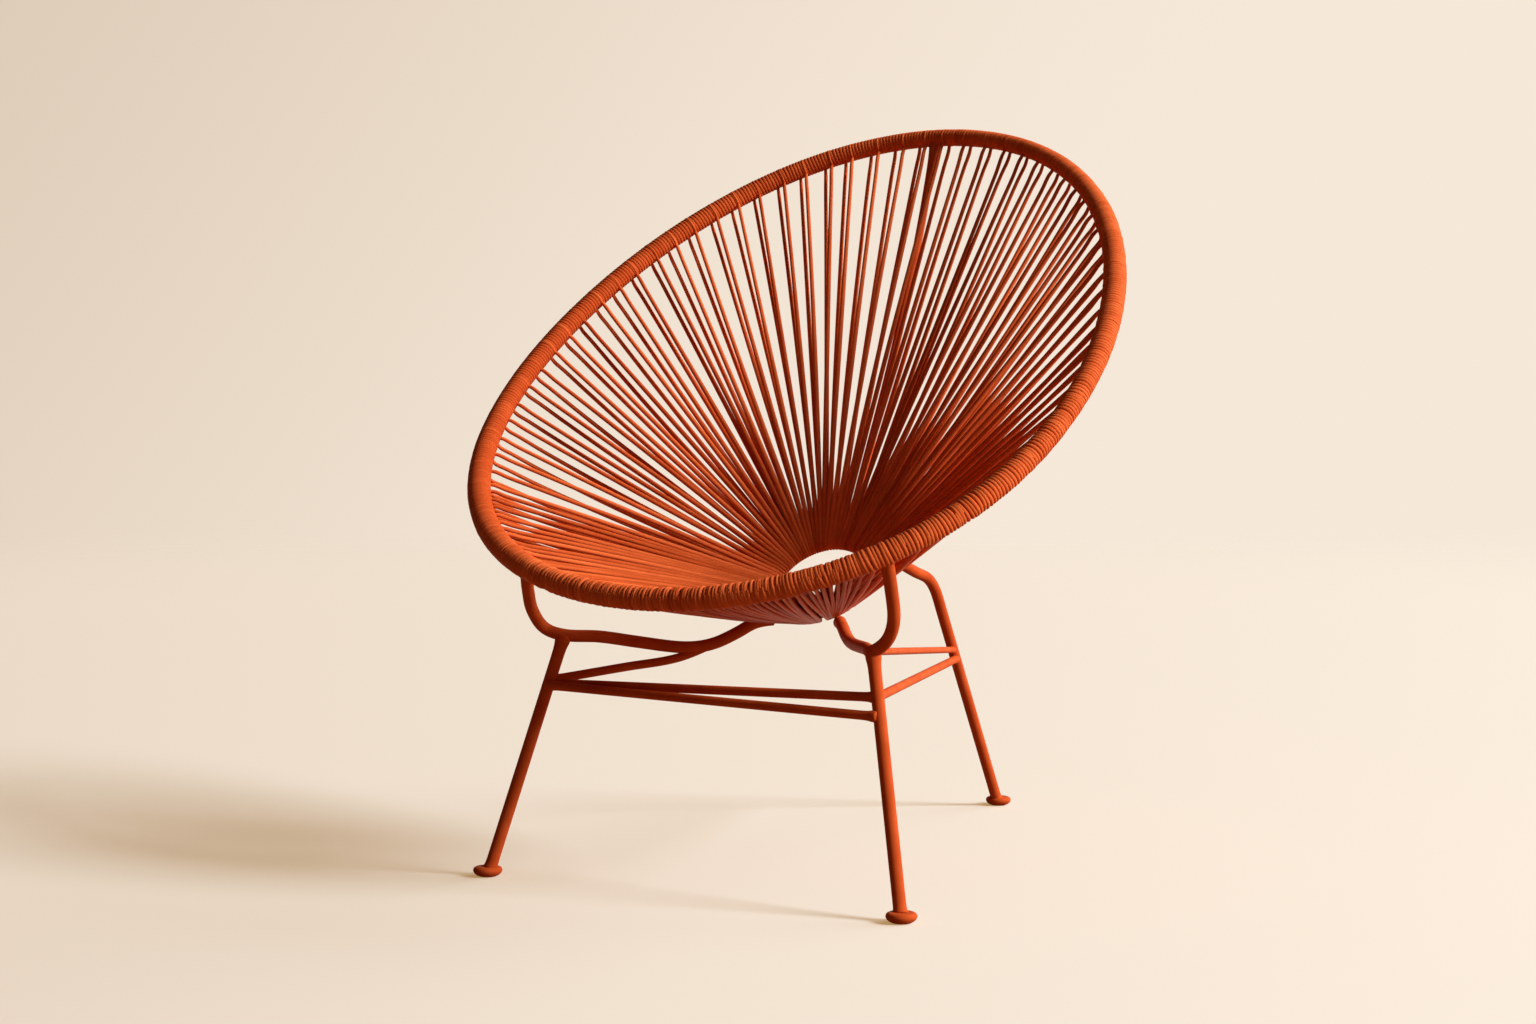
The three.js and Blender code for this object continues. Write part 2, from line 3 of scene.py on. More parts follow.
import bpy
import numpy as np
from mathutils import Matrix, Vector


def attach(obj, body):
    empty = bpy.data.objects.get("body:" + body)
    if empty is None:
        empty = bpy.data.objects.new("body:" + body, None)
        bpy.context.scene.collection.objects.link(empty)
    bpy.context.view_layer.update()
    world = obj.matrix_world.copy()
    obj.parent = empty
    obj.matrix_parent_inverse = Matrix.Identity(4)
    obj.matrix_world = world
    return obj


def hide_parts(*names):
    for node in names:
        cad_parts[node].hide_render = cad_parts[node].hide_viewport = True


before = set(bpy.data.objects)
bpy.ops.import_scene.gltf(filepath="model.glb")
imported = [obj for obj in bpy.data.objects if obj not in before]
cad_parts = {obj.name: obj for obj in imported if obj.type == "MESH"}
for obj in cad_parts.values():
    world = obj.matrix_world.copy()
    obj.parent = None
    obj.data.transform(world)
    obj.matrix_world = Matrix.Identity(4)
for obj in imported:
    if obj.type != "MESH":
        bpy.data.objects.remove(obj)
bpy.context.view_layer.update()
RANDOM_SEED = 11
rng = np.random.default_rng(RANDOM_SEED)

# Sizes of the solids in millimetres; DEPTH_SHIFT puts the origin mid-outline
MM = 0.001
DEPTH_SHIFT = -60.501
HOOP_HALF_WIDTH, HOOP_HALF_LENGTH = 379.0, 423.0
HOOP_CENTRE = np.array([0.0, -34.8, 595.4])
HOOP_TILT = math.radians(39.45)
HOOP_EGG, HOOP_FLARE = 0.112, 0.027
HOOP_RADIUS, CORD_RADIUS = 8.5, 2.0
RING_RADIUS, RING_ROD_RADIUS = 60.0, 4.0
RING_CENTRE = np.array([0.0, 0.5, 326.3])
RING_TILT, RING_WELD_GAP = math.radians(42.7), 6.5
SECTION_PAIRS = [5, 5, 5, 5, 6, 6, 6]
FRONT_LOOP_SHARE, FRONT_LOOP_POWER = 0.28, 3.6
FRAME_RADIUS, SPINE_RADIUS = 7.0, 5.0
STRETCHER_RADIUS, UPPER_STRETCHER_RADIUS = 5.0, 4.0
KNEE = np.array([198.0, -237.0, 270.5])
FRONT_FOOT = np.array([263.0, -295.0, 0.0])
REAR_FOOT = np.array([0.0, 478.0, 0.0])
SHOULDER, BEND_END = np.array([0.0, 243.0, 321.0]), np.array([0.0, 306.0, 277.0])
WELD_CLEARANCE = 0.3
# Left and right swapped
MIRROR = np.array([-1.0, 1.0, 1.0])

# Sizes that follow
PAIRS_PER_SIDE = sum(SECTION_PAIRS)
PAIR_COUNT = 2 * PAIRS_PER_SIDE
HOOP_TURN_RADIUS = HOOP_RADIUS + CORD_RADIUS
RING_TURN_RADIUS = RING_ROD_RADIUS + CORD_RADIUS
# Each side has a support's weld and half of the spine's
WELDS_PER_SIDE = 1.5
WELD_GAP_ANGLE = RING_WELD_GAP / (RING_RADIUS - RING_TURN_RADIUS)
LOOPS_ANGLE = math.pi - WELDS_PER_SIDE * WELD_GAP_ANGLE
SEAT_UP = np.array([0.0, -math.sin(HOOP_TILT), math.cos(HOOP_TILT)])


def unit(v):
    v = np.asarray(v, float)
    return v / np.linalg.norm(v, axis=-1, keepdims=True)


def dot(a, b):
    return (a * b).sum(-1, keepdims=True)


def smooth_step(t):
    t = np.clip(t, 0, 1)
    return t * t * (3 - 2 * t)


def reading(place, rows):
    """The value at a place, read straight between the rows (place, value)."""
    return np.interp(place, *np.array(rows, float).T)


def lengths_along(path):
    """Length of the path from its start to each of its points."""
    steps = np.linalg.norm(np.diff(path, axis=0), axis=1)
    return np.concatenate([[0], np.cumsum(steps)])


# The hoop's centreline
def hoop_at_turn(turn):
    """Points of the hoop; the turn runs from 0 to 1, round from the front."""
    angle = 2 * math.pi * np.asarray(turn, float)
    swell = 1 + HOOP_EGG * np.cos(angle) + HOOP_FLARE * np.cos(2 * angle)
    across = HOOP_HALF_WIDTH * np.sin(angle) * swell
    along = -HOOP_HALF_LENGTH * np.cos(angle)
    return HOOP_CENTRE + np.stack(
        [across, along * math.cos(HOOP_TILT), along * math.sin(HOOP_TILT)], -1)


HOOP_SAMPLES, TANGENT_STEP = 20001, 1e-4
hoop_turns = np.linspace(0, 1, HOOP_SAMPLES)
hoop_lengths = lengths_along(hoop_at_turn(hoop_turns))
HOOP_LENGTH = hoop_lengths[-1]


def hoop_place(share):
    """Centre and tangent of the hoop at a share of its length."""
    turn = np.interp(np.asarray(share, float) % 1.0, hoop_lengths / HOOP_LENGTH, hoop_turns)
    tangent = unit(hoop_at_turn(turn + TANGENT_STEP) - hoop_at_turn(turn - TANGENT_STEP))
    return hoop_at_turn(turn), tangent


def ring_place(angle):
    """Centre of the seat ring's rod at an angle from the ring's front."""
    across, back = np.sin(angle), -np.cos(angle)
    level, rise = math.cos(RING_TILT), math.sin(RING_TILT)
    return RING_CENTRE + RING_RADIUS * np.stack([across, back * level, back * rise], -1)


def ring_tangent(angle):
    across, back = np.cos(angle), np.sin(angle)
    return np.stack([across, back * math.cos(RING_TILT), back * math.sin(RING_TILT)], -1)


def ring_angle(pairs):
    """Ring angle of a place counted in pairs from the front middle."""
    share = pairs / PAIRS_PER_SIDE
    spread_out = FRONT_LOOP_SHARE * (1 - (1 - share) ** FRONT_LOOP_POWER)
    welds = (SECTION_PAIRS[0], PAIRS_PER_SIDE)
    passed = sum((1 + np.sign(pairs - weld)) / 2 for weld in welds)
    return LOOPS_ANGLE * ((1 - FRONT_LOOP_SHARE) * share + spread_out) + passed * WELD_GAP_ANGLE


def seat_normal(tangent, toward):
    """The direction square to both that points up out of the seat."""
    normal = unit(np.cross(tangent, toward))
    return normal * np.where(dot(normal, SEAT_UP) < 0, -1.0, 1.0)


def hoop_frame(share):
    """Centre, tangent, seat normal and outward direction of the hoop."""
    centre, tangent = hoop_place(share)
    # toward a place on the ring whose angle runs smoothly with the share
    target = ring_place(2 * math.pi * (np.asarray(share, float) % 1.0))
    normal = seat_normal(tangent, target - centre)
    outward = np.cross(tangent, normal)
    outward = outward * np.where(dot(outward, centre - target) < 0, -1.0, 1.0)
    return centre, tangent, normal, outward


def loop_frame(angle, hoop_share):
    """Centre, normal and direction to the hoop of a loop round the ring."""
    centre = ring_place(angle)
    to_hoop = unit(hoop_place(hoop_share)[0] - centre)
    return centre, seat_normal(ring_tangent(angle), to_hoop), to_hoop


# Paths
PATH_SPACING = 2.5


def knot_gap(start, end):
    """Centripetal distance between two points of a curve."""
    return max(np.linalg.norm(end - start), 1e-6) ** 0.5


def catmull(points, per_span=12):
    """Centripetal Catmull-Rom curve through the points."""
    points = np.asarray(points, float)
    before_first, after_last = 2 * points[0] - points[1], 2 * points[-1] - points[-2]
    points = np.concatenate([[before_first], points, [after_last]])
    t = np.linspace(0, 1, per_span, endpoint=False)[:, None]
    spans = []
    for before, start, end, after in zip(points, points[1:], points[2:], points[3:]):
        gap_in, gap, gap_out = knot_gap(before, start), knot_gap(start, end), knot_gap(end, after)
        slope_in = ((start - before) / gap_in - (end - before) / (gap_in + gap) + (end - start) / gap) * gap
        slope_out = ((end - start) / gap - (after - start) / (gap + gap_out) + (after - end) / gap_out) * gap
        spans.append(start + slope_in * t
                     + (-3 * start + 3 * end - 2 * slope_in - slope_out) * t**2
                     + (2 * start - 2 * end + slope_in + slope_out) * t**3)
    return np.concatenate(spans + [points[-2:-1]])


def resample(path, spacing):
    """The path with its points evenly apart, at about the spacing."""
    lengths = lengths_along(path)
    count = max(2, int(round(lengths[-1] / spacing)) + 1)
    places = np.linspace(0, lengths[-1], count)
    return np.stack([np.interp(places, lengths, path[:, axis]) for axis in range(3)], -1)


def rounded(path, passes):
    """The path with its tight bends eased, as a bent tube has them."""
    path = resample(path, PATH_SPACING)
    for _ in range(passes):
        path[1:-1] = (path[:-2] + 2 * path[1:-1] + path[2:]) / 4
    return path


# Meshes
def band_faces(row, next_row, sides):
    """Four-sided faces between rows of points, given by the first of each row."""
    corner = np.arange(sides)[None]
    after = (corner + 1) % sides
    quads = np.stack([row + corner, row + after, next_row + after, next_row + corner], -1)
    return quads.reshape(-1, 4)


class Pile:
    """Gathers tubes and other surfaces into one mesh."""

    def __init__(self):
        self.verts, self.faces, self.tones = [], [], []
        self.count = 0

    def add(self, verts, faces, tone=0.0):
        """Adds points, arrays of faces, and one tone or a tone for each point."""
        self.verts.append(np.asarray(verts, float))
        self.faces.extend(block + self.count for block in faces)
        self.tones.append(np.broadcast_to(np.asarray(tone, float), (len(verts),)))
        self.count += len(verts)

    def sweep(self, path, up, half_width, half_height, sides=8, closed=False, tone=0.0):
        """A tube along path; up is the direction of its half_height."""
        path = np.asarray(path, float)
        count = len(path)
        steps = np.roll(path, -1, 0) - np.roll(path, 1, 0) if closed else np.gradient(path, axis=0)
        along = unit(steps)
        up = np.broadcast_to(np.asarray(up, float), path.shape)
        up = unit(up - dot(up, along) * along)
        side = np.cross(along, up)
        turn = (2 * math.pi * (np.arange(sides) + 0.5) / sides)[None, :, None]
        width, height = (np.broadcast_to(np.asarray(half, float), (count,))[:, None, None]
                         for half in (half_width, half_height))
        verts = (path[:, None] + height * np.cos(turn) * up[:, None]
                 + width * np.sin(turn) * side[:, None]).reshape(-1, 3)
        row = np.arange(count if closed else count - 1)[:, None] * sides
        faces = [band_faces(row, (row + sides) % (count * sides), sides)]
        if not closed:
            end = np.arange(sides)[None]
            faces += [end[:, ::-1], (count - 1) * sides + end]
        tone = np.broadcast_to(np.asarray(tone, float), (count,))
        self.add(verts, faces, np.repeat(tone, sides))

    def lathe(self, profile, place, sides=48):
        """A closed turned shape; the profile's ends lie on the axis."""
        radius, height = np.asarray(profile, float).T
        turn = 2 * math.pi * np.arange(sides) / sides
        body = np.stack([radius[1:-1, None] * np.cos(turn), radius[1:-1, None] * np.sin(turn),
                         np.repeat(height[1:-1, None], sides, 1)], -1).reshape(-1, 3)
        poles = [[0, 0, height[0]], [0, 0, height[-1]]]
        row = np.arange(len(radius) - 3)[:, None] * sides
        corner = np.arange(sides)
        after = (corner + 1) % sides
        last_row, low_pole = (len(radius) - 3) * sides, (len(radius) - 2) * sides
        low_cap = np.stack([after, corner, np.full(sides, low_pole)], -1)
        high_cap = np.stack([last_row + corner, last_row + after, np.full(sides, low_pole + 1)], -1)
        faces = [band_faces(row, row + sides, sides), low_cap, high_cap]
        self.add(np.concatenate([body, poles]) + place, faces)

    def mesh(self, name):
        """The pile as one smooth mesh in metres, with its tones."""
        verts = (np.concatenate(self.verts) + [0, DEPTH_SHIFT, 0]) * MM
        corners = np.concatenate([block.ravel() for block in self.faces])
        totals = np.concatenate([np.full(len(block), block.shape[1]) for block in self.faces])
        mesh = bpy.data.meshes.new(name)
        mesh.vertices.add(len(verts))
        mesh.vertices.foreach_set("co", verts.ravel())
        mesh.loops.add(len(corners))
        mesh.loops.foreach_set("vertex_index", corners)
        mesh.polygons.add(len(totals))
        mesh.polygons.foreach_set("loop_start", np.concatenate([[0], np.cumsum(totals)[:-1]]))
        mesh.polygons.foreach_set("loop_total", totals)
        mesh.polygons.foreach_set("use_smooth", np.ones(len(totals), bool))
        tone = mesh.attributes.new("tone", "FLOAT", "POINT")
        tone.data.foreach_set("value", np.concatenate(self.tones))
        mesh.update(calc_edges=True)
        mesh.validate()
        return mesh

    def object(self, name, material, slot, *nodes):
        """The pile as a piece on the root, in place of the nodes."""
        mesh = self.mesh(name)
        mesh.materials.append(material)
        piece = bpy.data.objects.new(name, mesh)
        bpy.context.scene.collection.objects.link(piece)
        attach(piece, "root")
        if nodes:
            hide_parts(*nodes)
        return piece


# Camera
CAMERA_PLACE = Vector((1.5104, -2.7193, 0.5277))
CAMERA_AZIMUTH, CAMERA_DROP = math.radians(30.749), math.radians(2.292)
LENS, SENSOR_WIDTH = 61.55, 36.0
camera_data = bpy.data.cameras.new("camera")
camera_data.lens, camera_data.sensor_width = LENS, SENSOR_WIDTH
camera = bpy.data.objects.new("camera", camera_data)
bpy.context.scene.collection.objects.link(camera)
camera.location = CAMERA_PLACE
camera.rotation_euler = (math.pi / 2 - CAMERA_DROP, 0, CAMERA_AZIMUTH)
bpy.context.scene.camera = camera


# Shader nodes
# A colour mix node's sockets: its two colours, and its result
MIX_COLOURS, MIX_RESULT = (6, 7), 2
NOISE_ROUGHNESS = 0.55
# The range that most of a noise lies in
NOISE_RANGE = 0.3, 0.7


def node_tree(owner):
    """The empty node tree of a material or world."""
    owner.use_nodes = True
    tree = owner.node_tree
    tree.nodes.clear()
    return tree


def feed(tree, socket, value):
    """Links the socket to another one, or sets its value."""
    if isinstance(value, bpy.types.NodeSocket):
        tree.links.new(value, socket)
    else:
        socket.default_value = value


def add(tree, kind, inputs=None, **settings):
    node = tree.nodes.new(kind)
    for key, value in settings.items():
        setattr(node, key, value)
    for key, value in (inputs or {}).items():
        feed(tree, node.inputs[key], value)
    return node


def linear(r, g, b):
    """sRGB bytes to a linear colour."""
    shares = [byte / 255 for byte in (r, g, b)]
    return (*(s / 12.92 if s <= 0.04045 else ((s + 0.055) / 1.055) ** 2.4 for s in shares), 1.0)


def mix_colour(tree, factor, first, second, blend="MIX"):
    mix = add(tree, "ShaderNodeMix", data_type="RGBA", blend_type=blend)
    feed(tree, mix.inputs["Factor"], factor)
    for place, colour in zip(MIX_COLOURS, (first, second)):
        feed(tree, mix.inputs[place], colour)
    return mix.outputs[MIX_RESULT]


def math_node(tree, operation, a, b=0.0, clamp=False):
    node = add(tree, "ShaderNodeMath", operation=operation, use_clamp=clamp)
    feed(tree, node.inputs[0], a)
    feed(tree, node.inputs[1], b)
    return node.outputs[0]


def noise(tree, coords, scale, detail):
    return add(tree, "ShaderNodeTexNoise", {
        "Vector": coords, "Scale": scale, "Detail": detail, "Roughness": NOISE_ROUGHNESS,
    }).outputs["Fac"]


def remap(tree, value, low, high, to_low, to_high, ease="LINEAR"):
    return add(tree, "ShaderNodeMapRange", {
        "Value": value, "From Min": low, "From Max": high, "To Min": to_low, "To Max": to_high,
    }, interpolation_type=ease).outputs["Result"]


def noise_between(tree, coords, scale, detail, low, high):
    """Noise from about low to about high."""
    return remap(tree, noise(tree, coords, scale, detail), *NOISE_RANGE, low, high)


# The cord and the paint: colours, noises as scale, detail, low and high, and
# the grain as scale, detail, strength and height in metres
CORD_COLOURS = linear(192, 80, 37), linear(232, 112, 60)
CORD_DRIFT, CORD_MOTTLE, CORD_ROUGHNESS = (22, 2, -0.35, 0.35), (420, 3, -0.2, 0.2), (160, 2, 0.26, 0.36)
CORD_GRAIN, CORD_IOR = (900, 2, 0.12, 0.0006), 1.03
STEEL_COLOURS = linear(182, 72, 30), linear(203, 88, 42)
STEEL_CLOUD, STEEL_ROUGHNESS = (30, 4, 0.0, 1.0), (90, 3, 0.36, 0.5)
STEEL_GRAIN, STEEL_IOR = (700, 3, 0.1, 0.0005), 1.04


def gloss_surface(tree, coords, colour, rough, grain, ior):
    """The surface of the cord or the paint."""
    scale, detail, strength, height = grain
    bump = add(tree, "ShaderNodeBump", {
        "Height": noise(tree, coords, scale, detail), "Strength": strength, "Distance": height,
    }).outputs["Normal"]
    shader = add(tree, "ShaderNodeBsdfPrincipled", {
        "Base Color": colour, "Roughness": rough, "Normal": bump, "IOR": ior,
    })
    add(tree, "ShaderNodeOutputMaterial", {"Surface": shader.outputs[0]})


def vinyl_cord():
    """Extruded vinyl: a tone for each strand, and on the winding painted shade on the side away from the key
    light, slow drifts of colour, fine mottle and small dents.
    """
    material = bpy.data.materials.new("vinyl_cord_orange")
    tree = node_tree(material)
    coords = add(tree, "ShaderNodeTexCoord").outputs["Object"]
    tone = add(tree, "ShaderNodeAttribute", attribute_name="tone").outputs["Fac"]
    drift = noise_between(tree, coords, *CORD_DRIFT)
    mottle = noise_between(tree, coords, *CORD_MOTTLE)
    shade = math_node(tree, "ADD", math_node(tree, "ADD", tone, drift), mottle)
    factor = math_node(tree, "ADD", math_node(tree, "MULTIPLY", shade, 0.5), 0.5, clamp=True)
    colour = mix_colour(tree, factor, *CORD_COLOURS)
    rough = noise_between(tree, coords, *CORD_ROUGHNESS)
    gloss_surface(tree, coords, colour, rough, CORD_GRAIN, CORD_IOR)
    return material


def painted_steel():
    """Powder coat: cloudy colour, a fine orange peel and a little unevenness of gloss."""
    material = bpy.data.materials.new("painted_steel_orange")
    tree = node_tree(material)
    coords = add(tree, "ShaderNodeTexCoord").outputs["Object"]
    colour = mix_colour(tree, noise_between(tree, coords, *STEEL_CLOUD), *STEEL_COLOURS)
    rough = noise_between(tree, coords, *STEEL_ROUGHNESS)
    gloss_surface(tree, coords, colour, rough, STEEL_GRAIN, STEEL_IOR)
    return material


cord = vinyl_cord()
steel = painted_steel()

# The winding round the hoop: one cord, turn against turn
TURN_PITCH = 4.2
WINDING_STEPS = 16
TURN_COUNT = int(round(HOOP_LENGTH / TURN_PITCH))
# A turn reaches into its neighbours, lies a little into the hoop and is a little flat
TURN_OVERLAP, TURN_SINK, TURN_SLIMMING = 0.5, 0.1, 0.05
# How much thicker the wound cord lies than a single round turn, by share of
# the hoop from the front middle: pulled flat at the back, bulkiest at the front right
BULK = [(0, 0.6), (0.06, 0.3), (0.16, 0.6), (0.21, 0.1), (0.28, 1.0), (0.34, 0.5), (0.40, -1.2),
        (0.46, -1.8), (0.52, -1.5), (0.58, -0.7), (0.68, 0), (0.78, 0.4), (0.85, 1.4), (0.90, 2.0),
        (0.95, 1.2), (1, 0.6)]
# How the cord's colour changes along the rim, by share of the hoop as in BULK: painted shade, darker on the
# -X side away from the key light
RIM_PAINTED_SHADE = [(0, 0.1), (0.1, 0.2), (0.2, 0.1), (0.4, 0.1), (0.6, -0.6), (0.72, -1.1), (0.86, -1.1),
            (0.93, 0.1), (1, 0.1)]
# The share of the hoop where the turns are most uneven, a little left of the front
UNEVEN_SHARE = 0.07
# How far a turn leans, creeps along the hoop and rises, and how its tone varies
LEAN, CREEP, RISE, TONE_PLAY = 0.7, 0.55, 0.26, 0.3
LEAN_SMOOTHING, LEAN_PHASE = 3, 0.7
# Factors of these all round, and what is added to them at the most uneven place
UNEVENNESS, NEAR_UNEVENNESS = 0.18, 1.1
LEAN_FACTOR, NEAR_LEAN_FACTOR = 0.5, 1.3


def bulk_at(share):
    """Extra thickness of the winding, eased between the listed places."""
    share = np.asarray(share, float) % 1.0
    places, extra = np.array(BULK).T
    row = np.clip(np.searchsorted(places, share, side="right") - 1, 0, len(places) - 2)
    t = smooth_step((share - places[row]) / (places[row + 1] - places[row]))
    return extra[row] + (extra[row + 1] - extra[row]) * t


def turn_noise(amount, smoothing=0):
    """A random value for each turn, with the amount as its spread."""
    values = rng.normal(0, 1, TURN_COUNT)
    for _ in range(smoothing):
        values = (np.roll(values, 1) + 2 * values + np.roll(values, -1)) / 4
    values = values / values.std()
    return amount * np.clip(values, -2, 2)


def along_turns(turns, values):
    """The values of the turns, read between them and closed round the hoop."""
    return np.interp(turns, np.arange(TURN_COUNT + 1), np.append(values, values[0]))


def wind_hoop():
    """The winding as one tube that closes on itself after its last turn."""
    turns = np.arange(TURN_COUNT * WINDING_STEPS) / WINDING_STEPS
    around = 2 * math.pi * turns
    # 1 at the near part of the rim, where the lacing's turns press in between
    near = (0.5 + 0.5 * np.cos(2 * math.pi * (turns / TURN_COUNT - UNEVEN_SHARE)))**3
    unevenness = UNEVENNESS + NEAR_UNEVENNESS * near
    lean = along_turns(turns, turn_noise(LEAN, LEAN_SMOOTHING))
    lean = lean * (LEAN_FACTOR + NEAR_LEAN_FACTOR * near) * np.sin(around + LEAN_PHASE)
    creep = along_turns(turns, turn_noise(CREEP)) * unevenness
    rise = along_turns(turns, turn_noise(RISE)) * unevenness
    share = (turns * TURN_PITCH + creep + lean) / (TURN_COUNT * TURN_PITCH)
    # The winding's tone: painted shade along the rim, with a random play from turn to turn
    tone = reading(turns / TURN_COUNT, RIM_PAINTED_SHADE) + along_turns(turns, turn_noise(TONE_PLAY))
    centre, _, normal, outward = hoop_frame(share)
    bulk = bulk_at(share)
    spoke = np.cos(around)[:, None] * normal + np.sin(around)[:, None] * outward
    path = centre + spoke * (HOOP_TURN_RADIUS - TURN_SINK + rise + bulk / 2)[:, None]
    winding = Pile()
    winding.sweep(path, spoke, TURN_PITCH / 2 + TURN_OVERLAP, CORD_RADIUS - TURN_SLIMMING + bulk / 2,
                  closed=True, tone=tone)
    return winding


wind_hoop().object("rim_winding", cord, "vinyl_cord")

# The lacing: each pair is one cord that comes over the hoop as a turn of the
# winding, leaves its inner side, goes round the ring and returns underneath
STRAND_RADIUS_AT_HOOP, STRAND_RADIUS_AT_RING, LOOP_CORD_RADIUS = 2.3, 3.0, 2.1
STRAND_SWELL_SHARE = 0.6
# Places along a strand between the hoop and the ring
STRAND_SHARES = np.array([0.02, 0.06, 0.15, 0.3, 0.5, 0.7, 0.85, 0.95, 0.985])[:, None]
# Round the hoop the cord comes in from the outside and leaves on the inner side
OVER_HOOP_ANGLES = np.radians([100, 80, 60, 40, 20, 0])
LEAVE_ANGLE, LEAVE_STEPS = math.radians(75), np.linspace(0.3, 1, 5)
LOOP_ANGLES = np.radians([6, 35, 65, 90])
# How far the cord lies in the winding, rises in all, at random within a range,
# and lifts as it bends off the hoop
WRAP_SINK, WRAP_RISE, BEND_LIFT = 0.15, (0.3, 0.6), 1.2
# The rise is complete after 1 / RISE_HASTE of the points over the hoop
RISE_HASTE = 1.4
CORD_SPAN_STEPS = 3
# What else is random: a factor of the pair's spread and of the leave angle, the slip
# along the hoop, the bow to the side and up, and the strand's tone
SPREAD_PLAY, LEAVE_PLAY, TONE_RANGE = (0.7, 1.15), (0.92, 1.06), (-1.0, 1.3)
SLIP, SWAY, LIFT = 1.0, 1.1, 0.6

# The lists below count in pairs from the front middle
# How much the lacing's turns stand above the winding: below 0 they hide under it
LACING_RISE = [(0, 1), (4, 0.8), (7, -1), (18, -1), (24, 1), (38, 1)]
# A turn that hides comes in this factor of its rise under the winding
HIDING_DEPTH = 0.7
# How far the lower strands hang below a straight line
LEFT_SAG = [(0, 5), (6, 6), (9, 5), (12, 1), (14, 0), (28, 0)]
RIGHT_SAG = [(0, 5), (6, 6), (9, 9), (14, 7), (20, 3), (28, 0)]
SAG_PEAK_SHARE = 0.35
SAG_POWER = math.log(0.5) / math.log(SAG_PEAK_SHARE)
# How many degrees a loop lies nearer the front of the ring than the solid's:
# less than 0 on both sides at the back, more than 0 on the left at the front
BACK_LAG = [(34, 0), (PAIRS_PER_SIDE - 1, -2.5)]
LEFT_FRONT_LAG = [(0, 5), (3, 12), (8, 12), (14, 0)]
# How far the two ends of a loop lie from its middle on the ring, in radii of its cord
LOOP_APART = [(0, 0.8), (10, 0.6), (20, 0.3)]
# How far the two strands of a cord are apart on the hoop
LEFT_SPREAD = [(0, 8.0), (PAIRS_PER_SIDE, 8.0)]
RIGHT_SPREAD = [(0, 6.4), (12, 6.4), (26, 11.0), (PAIRS_PER_SIDE, 12.5)]
# Toward the front several cords stand for a pair, so that the strands lie evenly:
# the pair where each row ends, the cords' places from the pair, and their spread
FOUR_CORDS, TWO_CORDS, ONE_CORD = (-0.375, -0.125, 0.125, 0.375), (-0.25, 0.25), (0,)
LEFT_FRONT = [(7, FOUR_CORDS, 4.3), (8, TWO_CORDS, 7.0)]
RIGHT_FRONT = [(4, FOUR_CORDS, 4.3), (12, TWO_CORDS, 7.5)]


def cords_of_pair(pair, mirror):
    """The places of the cords that stand for a pair, and their spread."""
    front, spread = (RIGHT_FRONT, RIGHT_SPREAD) if mirror else (LEFT_FRONT, LEFT_SPREAD)
    for end, places, front_spread in front:
        if pair < end:
            return places, front_spread
    return ONE_CORD, reading(pair, spread)


def ring_lag(pair, mirror):
    """How far a cord's loop on the ring lies toward the front from the solid's."""
    front_lag = 0 if mirror else reading(pair, LEFT_FRONT_LAG)
    return math.radians(reading(pair, BACK_LAG) + front_lag)


def sag_at(pair, mirror):
    """How far a lower strand hangs at each of its places."""
    depth = reading(pair, RIGHT_SAG if mirror else LEFT_SAG)
    return depth * np.sin(math.pi * STRAND_SHARES ** SAG_POWER)


def wrap(hoop, leave, layer, rise, bulk):
    """Points over the hoop from its outside to where the strand leaves it."""
    centre, _, normal, outward = hoop
    angles = np.concatenate([OVER_HOOP_ANGLES, -LEAVE_STEPS * leave])
    eased = rise * smooth_step(np.linspace(0, RISE_HASTE, len(angles)))
    rises = bulk + min(rise, 0) * HIDING_DEPTH + eased - WRAP_SINK
    spoke = layer * np.cos(angles)[:, None] * normal + np.sin(angles)[:, None] * outward
    return centre + spoke * (HOOP_TURN_RADIUS + rises)[:, None]


def half_cord(pair, mirror, layer, hoop, loop):
    """Points and radii from the hoop to the ring, over (1) or under (-1) both."""
    tangent, normal = hoop[1:3]
    loop_centre, loop_normal, to_hoop = loop
    leave = LEAVE_ANGLE * rng.uniform(*LEAVE_PLAY)
    rise = rng.uniform(*WRAP_RISE) * reading(pair, LACING_RISE)
    hoop_share = (pair + 0.5) / PAIR_COUNT
    rim_end = wrap(hoop, leave, layer, rise, bulk_at(1 - hoop_share if mirror else hoop_share))
    round_rod = layer * np.cos(LOOP_ANGLES)[:, None] * loop_normal - np.sin(LOOP_ANGLES)[:, None] * to_hoop
    ring_end = loop_centre + RING_TURN_RADIUS * round_rod
    sway, lift = rng.normal(0, SWAY), rng.normal(0, LIFT)
    bow = np.sin(math.pi * STRAND_SHARES) * (sway * tangent + lift * normal)
    if layer < 0:
        bow = bow - sag_at(pair, mirror) * normal
    middle = rim_end[-1] + (ring_end[0] - rim_end[-1]) * STRAND_SHARES + bow
    middle[0] += BEND_LIFT * layer * normal
    swell = [(0, STRAND_RADIUS_AT_HOOP), (STRAND_SWELL_SHARE, STRAND_RADIUS_AT_RING)]
    radii = np.concatenate([np.full(len(rim_end), CORD_RADIUS), reading(STRAND_SHARES[:, 0], swell),
                            np.full(len(ring_end), LOOP_CORD_RADIUS)])
    return np.column_stack([np.concatenate([rim_end, middle, ring_end]), radii])


